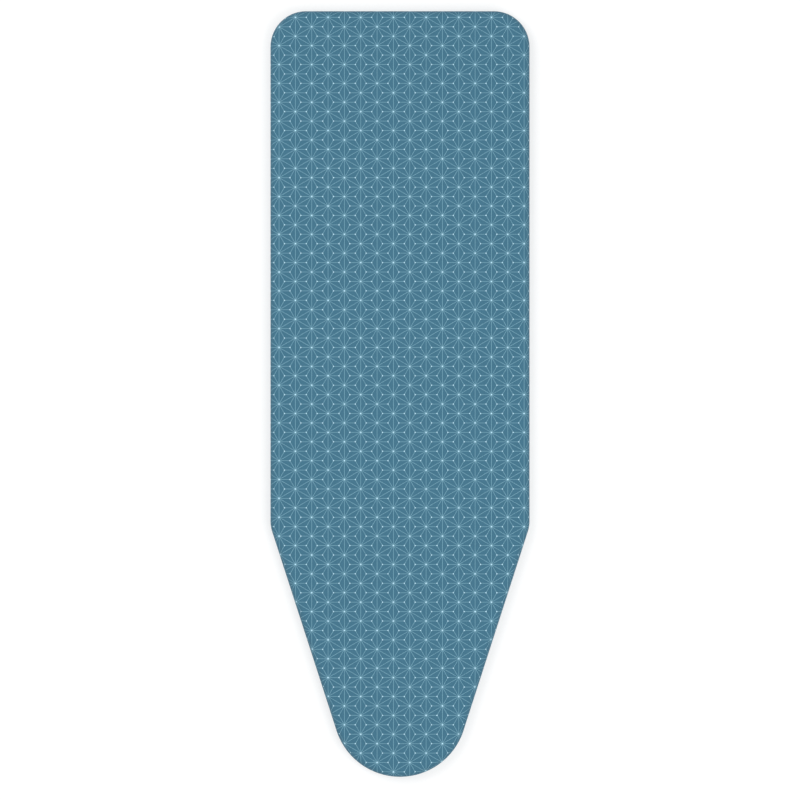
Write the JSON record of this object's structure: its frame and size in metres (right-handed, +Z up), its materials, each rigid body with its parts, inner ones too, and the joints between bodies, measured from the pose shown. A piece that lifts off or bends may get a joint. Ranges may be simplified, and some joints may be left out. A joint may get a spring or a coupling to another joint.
{
  "type": "ironing board cover",
  "caption": "Padded cotton cover for a tapered ironing board, with a gathered elastic hem and cam-clipped tension straps beneath.",
  "frame": {"origin": "centre of the footprint, on the surface that the rim lies on", "axes": "+Y along the length to the square tail end, -Y to the rounded nose, +X across, +Z up through the ironing face"},
  "size_m": [0.45, 1.33, 0.0322],
  "materials": {
    "printed_cotton": "plain-weave cotton, dusty blue with a pale hemp-leaf line print",
    "foam": "open-cell foam, off-white",
    "felt": "needled felt, pale grey",
    "hem_tape": "folded cotton tape, dark blue",
    "elastic": "braided elastic, white",
    "webbing": "woven elastic webbing, white",
    "plated_steel": "bright nickel plate",
    "nylon": "moulded white nylon"
  },
  "bodies": {
    "cover": {"cotton_cover": "printed_cotton", "foam_layer": "foam", "felt_underlay": "felt", "hem_elastic": "elastic", "hem_tape_tail": "hem_tape", "hem_tape_tail_right": "hem_tape", "hem_tape_tail_left": "hem_tape", "hem_tape_right": "hem_tape", "hem_tape_left": "hem_tape", "hem_tape_taper_right": "hem_tape", "hem_tape_taper_left": "hem_tape", "hem_tape_nose": "hem_tape", "tail_strap": "webbing", "middle_strap": "webbing", "shoulder_strap": "webbing", "tail_right_clip_plate": "plated_steel", "tail_right_lever_pin": "plated_steel", "tail_right_jaw_pin": "plated_steel", "tail_right_upper_shoe": "nylon", "tail_left_clip_plate": "plated_steel", "tail_left_lever_pin": "plated_steel", "tail_left_jaw_pin": "plated_steel", "tail_left_upper_shoe": "nylon", "middle_right_clip_plate": "plated_steel", "middle_right_lever_pin": "plated_steel", "middle_right_jaw_pin": "plated_steel", "middle_right_upper_shoe": "nylon", "middle_left_clip_plate": "plated_steel", "middle_left_lever_pin": "plated_steel", "middle_left_jaw_pin": "plated_steel", "middle_left_upper_shoe": "nylon", "shoulder_right_clip_plate": "plated_steel", "shoulder_right_lever_pin": "plated_steel", "shoulder_right_jaw_pin": "plated_steel", "shoulder_right_upper_shoe": "nylon", "shoulder_left_clip_plate": "plated_steel", "shoulder_left_lever_pin": "plated_steel", "shoulder_left_jaw_pin": "plated_steel", "shoulder_left_upper_shoe": "nylon"},
    "tail_right_lever": {"tail_right_clip_lever": "plated_steel"},
    "tail_right_jaw": {"tail_right_clip_jaw": "plated_steel", "tail_right_lower_shoe": "nylon"},
    "tail_left_lever": {"tail_left_clip_lever": "plated_steel"},
    "tail_left_jaw": {"tail_left_clip_jaw": "plated_steel", "tail_left_lower_shoe": "nylon"},
    "middle_right_lever": {"middle_right_clip_lever": "plated_steel"},
    "middle_right_jaw": {"middle_right_clip_jaw": "plated_steel", "middle_right_lower_shoe": "nylon"},
    "middle_left_lever": {"middle_left_clip_lever": "plated_steel"},
    "middle_left_jaw": {"middle_left_clip_jaw": "plated_steel", "middle_left_lower_shoe": "nylon"},
    "shoulder_right_lever": {"shoulder_right_clip_lever": "plated_steel"},
    "shoulder_right_jaw": {"shoulder_right_clip_jaw": "plated_steel", "shoulder_right_lower_shoe": "nylon"},
    "shoulder_left_lever": {"shoulder_left_clip_lever": "plated_steel"},
    "shoulder_left_jaw": {"shoulder_left_clip_jaw": "plated_steel", "shoulder_left_lower_shoe": "nylon"}
  },
  "joints": [
    {"name": "tail_right_lever_hinge", "type": "hinge", "parent": "cover", "child": "tail_right_lever", "pos_m": [0.149, 0.475, 0.0028], "axis": [0, -1, 0], "range_deg": [0, 95]},
    {"name": "tail_right_jaw_hinge", "type": "hinge", "parent": "cover", "child": "tail_right_jaw", "pos_m": [0.134, 0.475, 0.0082], "axis": [0, -1, 0], "range_deg": [-3.6, 0]},
    {"name": "tail_left_lever_hinge", "type": "hinge", "parent": "cover", "child": "tail_left_lever", "pos_m": [-0.149, 0.475, 0.0028], "axis": [0, 1, 0], "range_deg": [0, 95]},
    {"name": "tail_left_jaw_hinge", "type": "hinge", "parent": "cover", "child": "tail_left_jaw", "pos_m": [-0.134, 0.475, 0.0082], "axis": [0, 1, 0], "range_deg": [-3.6, 0]},
    {"name": "middle_right_lever_hinge", "type": "hinge", "parent": "cover", "child": "middle_right_lever", "pos_m": [0.149, 0.215, 0.0028], "axis": [0, -1, 0], "range_deg": [0, 95]},
    {"name": "middle_right_jaw_hinge", "type": "hinge", "parent": "cover", "child": "middle_right_jaw", "pos_m": [0.134, 0.215, 0.0082], "axis": [0, -1, 0], "range_deg": [-3.6, 0]},
    {"name": "middle_left_lever_hinge", "type": "hinge", "parent": "cover", "child": "middle_left_lever", "pos_m": [-0.149, 0.215, 0.0028], "axis": [0, 1, 0], "range_deg": [0, 95]},
    {"name": "middle_left_jaw_hinge", "type": "hinge", "parent": "cover", "child": "middle_left_jaw", "pos_m": [-0.134, 0.215, 0.0082], "axis": [0, 1, 0], "range_deg": [-3.6, 0]},
    {"name": "shoulder_right_lever_hinge", "type": "hinge", "parent": "cover", "child": "shoulder_right_lever", "pos_m": [0.149, -0.045, 0.0028], "axis": [0, -1, 0], "range_deg": [0, 95]},
    {"name": "shoulder_right_jaw_hinge", "type": "hinge", "parent": "cover", "child": "shoulder_right_jaw", "pos_m": [0.134, -0.045, 0.0082], "axis": [0, -1, 0], "range_deg": [-3.6, 0]},
    {"name": "shoulder_left_lever_hinge", "type": "hinge", "parent": "cover", "child": "shoulder_left_lever", "pos_m": [-0.149, -0.045, 0.0028], "axis": [0, 1, 0], "range_deg": [0, 95]},
    {"name": "shoulder_left_jaw_hinge", "type": "hinge", "parent": "cover", "child": "shoulder_left_jaw", "pos_m": [-0.134, -0.045, 0.0082], "axis": [0, 1, 0], "range_deg": [-3.6, 0]}
  ],
  "couplings": [
    {"joint": "tail_right_jaw_hinge", "follows": "tail_right_lever_hinge", "ratio": -0.036842},
    {"joint": "tail_left_jaw_hinge", "follows": "tail_left_lever_hinge", "ratio": -0.036842},
    {"joint": "middle_right_jaw_hinge", "follows": "middle_right_lever_hinge", "ratio": -0.036842},
    {"joint": "middle_left_jaw_hinge", "follows": "middle_left_lever_hinge", "ratio": -0.036842},
    {"joint": "shoulder_right_jaw_hinge", "follows": "shoulder_right_lever_hinge", "ratio": -0.036842},
    {"joint": "shoulder_left_jaw_hinge", "follows": "shoulder_left_lever_hinge", "ratio": -0.036842}
  ]
}
